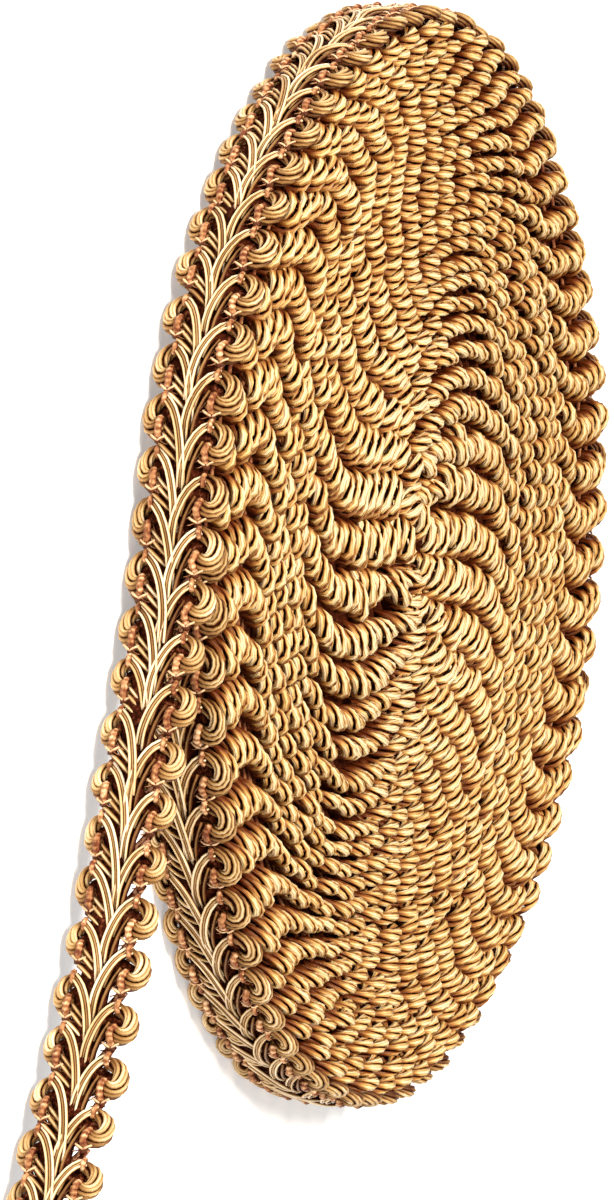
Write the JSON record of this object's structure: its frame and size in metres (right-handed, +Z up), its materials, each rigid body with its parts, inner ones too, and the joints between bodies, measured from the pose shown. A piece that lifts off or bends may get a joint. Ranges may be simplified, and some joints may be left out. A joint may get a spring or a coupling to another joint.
{
  "type": "gimp braid trim",
  "caption": "Flat roll of gold scroll gimp braid, wound on itself with no core, lying on its side with one loose end standing on its edge.",
  "frame": {"origin": "under the middle of the roll, on the surface that it lies on", "axes": "+Z up, along the roll's winding axis; the loose end lets go at the -Y side of the roll and runs off towards +X"},
  "size_m": [0.1542, 0.1676, 0.013],
  "materials": {
    "gold_braid": "satin",
    "gold_braid_end": "satin",
    "binding_thread": "satin"
  },
  "bodies": {
    "root": {"roll": "gold_braid", "loose_end": "gold_braid_end"}
  },
  "joints": []
}
